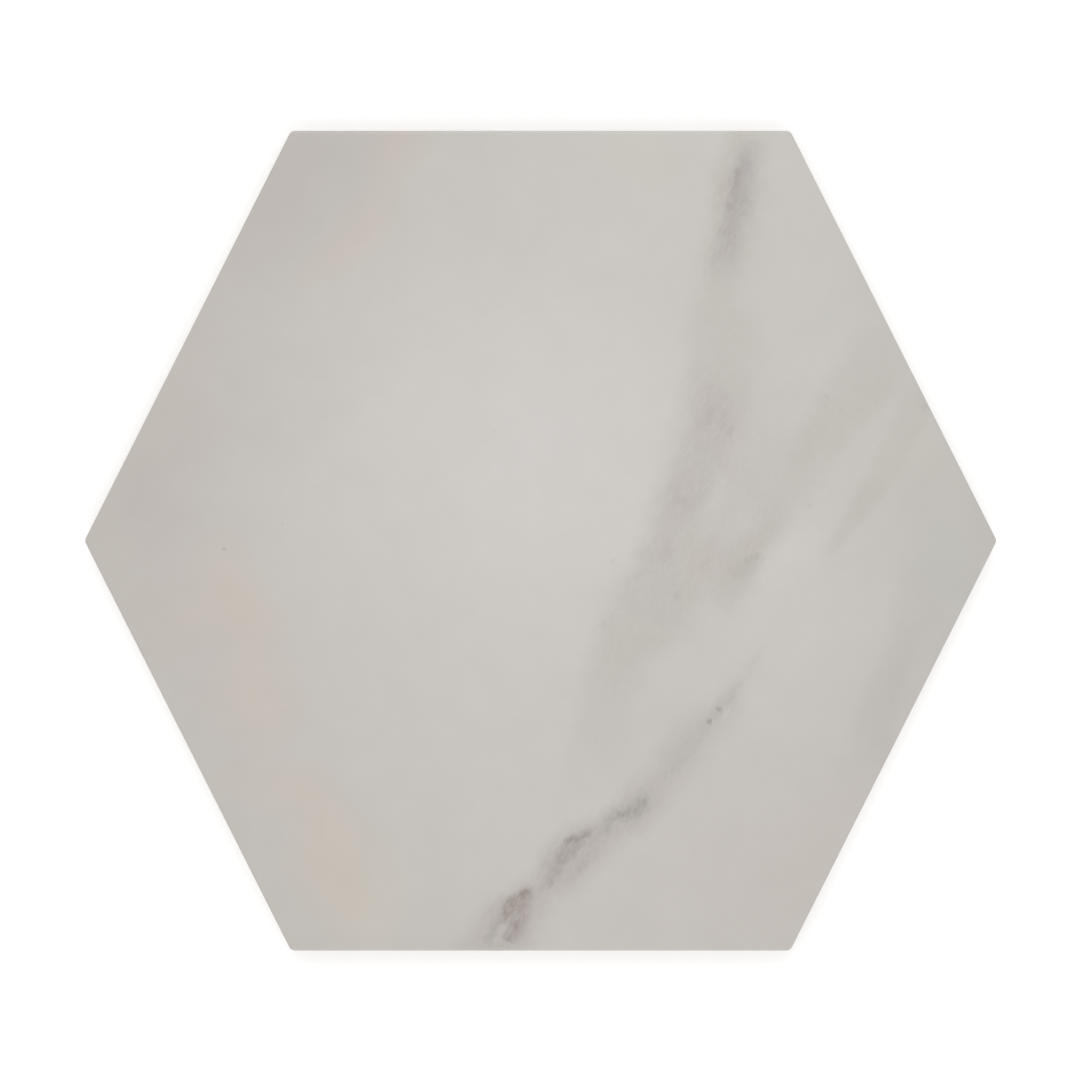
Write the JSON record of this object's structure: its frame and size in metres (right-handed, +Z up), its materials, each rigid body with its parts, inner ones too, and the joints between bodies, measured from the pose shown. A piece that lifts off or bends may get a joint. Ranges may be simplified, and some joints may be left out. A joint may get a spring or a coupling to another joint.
{
  "type": "hexagon floor tile",
  "caption": "Hexagon floor tile with a flat marble-look glazed face, eased edges and a shallow honeycomb back for the adhesive.",
  "frame": {"origin": "middle of the outline, on the plane of the back on which the tile lies", "axes": "+X from point to point, +Y from flat side to flat side, +Z up out of the glazed face; the camera of the picture looks along -Z with +Y up the picture"},
  "size_m": [0.254, 0.2286, 0.009],
  "materials": {
    "tile": "satin glaze with a marble print on the face and the eased edges; bare pale porcelain on the walls below it and on the back"
  },
  "bodies": {
    "root": {"hexagon_tile": "tile"}
  },
  "joints": []
}
